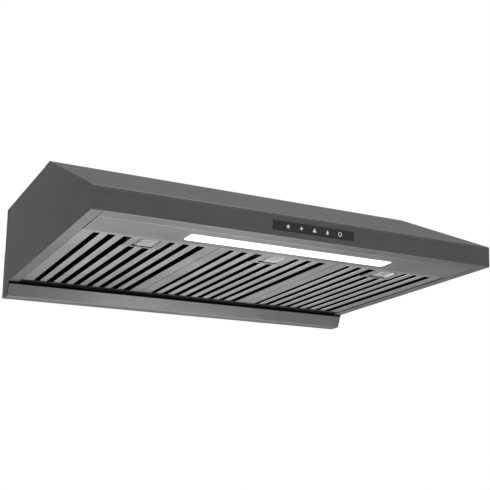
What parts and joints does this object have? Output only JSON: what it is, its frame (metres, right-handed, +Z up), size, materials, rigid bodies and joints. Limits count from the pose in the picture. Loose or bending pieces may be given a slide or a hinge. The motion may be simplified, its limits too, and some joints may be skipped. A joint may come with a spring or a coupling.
{
  "type": "under cabinet range hood",
  "caption": "Under cabinet range hood with a sloped front, touch strip, light bar, slotted baffle filters with latches, an oil tray along the wall and a top duct collar.",
  "frame": {"origin": "centre of the four cabinet screw holes, on the top face", "axes": "+Z up out of the top face, -Y towards the front of the hood, +X along its width"},
  "size_m": [0.908, 0.57, 0.261],
  "materials": {
    "black_steel": "dark tinted stainless, brushed lengthwise, satin",
    "filter_steel": "brushed stainless, satin",
    "latch_steel": "brushed stainless, brighter",
    "bright_steel": "bright zinc or spring steel",
    "lit_lens": "opal diffuser, lit",
    "light_board": "white circuit board with light chips",
    "black_glass": "black printed glass, polished",
    "white_print": "white backlit symbols",
    "black_plastic": "moulded, fine grain",
    "circuit_board": "green circuit board",
    "white_plastic": "moulded",
    "wheel_steel": "grey coated wheel",
    "motor_paint": "black painted motor case",
    "collar_steel": "plain sheet, dull",
    "zinc_steel": "galvanised sheet"
  },
  "bodies": {
    "casing": {"top_panel": "black_steel", "front_panel": "black_steel", "left_side_panel": "black_steel", "right_side_panel": "black_steel", "back_panel": "black_steel", "light_panel": "filter_steel", "rear_filter_rail": "filter_steel", "led_lens": "lit_lens", "led_board": "light_board", "led_housing": "zinc_steel", "touch_glass": "black_glass", "touch_symbols": "white_print", "control_carrier": "black_plastic", "control_board": "circuit_board", "control_cover": "black_plastic", "tray_clips": "bright_steel", "blower_housing": "zinc_steel", "left_end_plate": "zinc_steel", "right_end_plate": "zinc_steel", "motor": "motor_paint", "motor_bracket": "zinc_steel", "duct_collar": "collar_steel", "damper_rods": "bright_steel", "wiring_box": "zinc_steel", "wiring_cover": "zinc_steel", "cable_gland": "black_plastic", "capacitor": "white_plastic", "light_driver": "white_plastic", "collar_screws": "bright_steel", "blower_screws": "bright_steel"},
    "oil_tray": {"oil_tray": "black_steel"},
    "rotor": {"motor_shaft": "bright_steel", "left_wheel": "wheel_steel", "right_wheel": "wheel_steel"},
    "front_flap": {"front_damper_flap": "collar_steel"},
    "rear_flap": {"rear_damper_flap": "collar_steel"},
    "filter_1": {"filter_1_frame": "filter_steel", "filter_1_front_baffles": "filter_steel", "filter_1_rear_baffles": "filter_steel", "filter_1_spring": "bright_steel"},
    "latch_1": {"filter_1_latch": "latch_steel", "filter_1_tongue": "bright_steel"},
    "filter_2": {"filter_2_frame": "filter_steel", "filter_2_front_baffles": "filter_steel", "filter_2_rear_baffles": "filter_steel", "filter_2_spring": "bright_steel"},
    "latch_2": {"filter_2_latch": "latch_steel", "filter_2_tongue": "bright_steel"},
    "filter_3": {"filter_3_frame": "filter_steel", "filter_3_front_baffles": "filter_steel", "filter_3_rear_baffles": "filter_steel", "filter_3_spring": "bright_steel"},
    "latch_3": {"filter_3_latch": "latch_steel", "filter_3_tongue": "bright_steel"}
  },
  "joints": [
    {"name": "filter_1_tilt", "type": "hinge", "parent": "casing", "child": "filter_1", "pos_m": [-0.28667, 0.105, -0.1813], "axis": [1, 0, 0], "range_deg": [0, 30]},
    {"name": "latch_1_slide", "type": "slide", "parent": "filter_1", "child": "latch_1", "axis": [0, 1, 0], "range_m": [0, 0.007], "stiffness_N_per_m": 400, "springref_m": -0.004},
    {"name": "filter_2_tilt", "type": "hinge", "parent": "casing", "child": "filter_2", "pos_m": [0, 0.105, -0.1813], "axis": [1, 0, 0], "range_deg": [0, 30]},
    {"name": "latch_2_slide", "type": "slide", "parent": "filter_2", "child": "latch_2", "axis": [0, 1, 0], "range_m": [0, 0.007], "stiffness_N_per_m": 400, "springref_m": -0.004},
    {"name": "filter_3_tilt", "type": "hinge", "parent": "casing", "child": "filter_3", "pos_m": [0.28667, 0.105, -0.1813], "axis": [1, 0, 0], "range_deg": [0, 30]},
    {"name": "latch_3_slide", "type": "slide", "parent": "filter_3", "child": "latch_3", "axis": [0, 1, 0], "range_m": [0, 0.007], "stiffness_N_per_m": 400, "springref_m": -0.004},
    {"name": "oil_tray_drop", "type": "slide", "parent": "casing", "child": "oil_tray", "axis": [0, 0, -1], "range_m": [0, 0.04]},
    {"name": "rotor_spin", "type": "hinge", "parent": "casing", "child": "rotor", "pos_m": [0, -0.005, -0.09], "axis": [1, 0, 0], "continuous": true},
    {"name": "front_flap_swing", "type": "hinge", "parent": "casing", "child": "front_flap", "pos_m": [0, 0.022, 0.016], "axis": [-1, 0, 0], "range_deg": [0, 70]},
    {"name": "rear_flap_swing", "type": "hinge", "parent": "casing", "child": "rear_flap", "pos_m": [0, 0.032, 0.016], "axis": [1, 0, 0], "range_deg": [0, 70]}
  ]
}
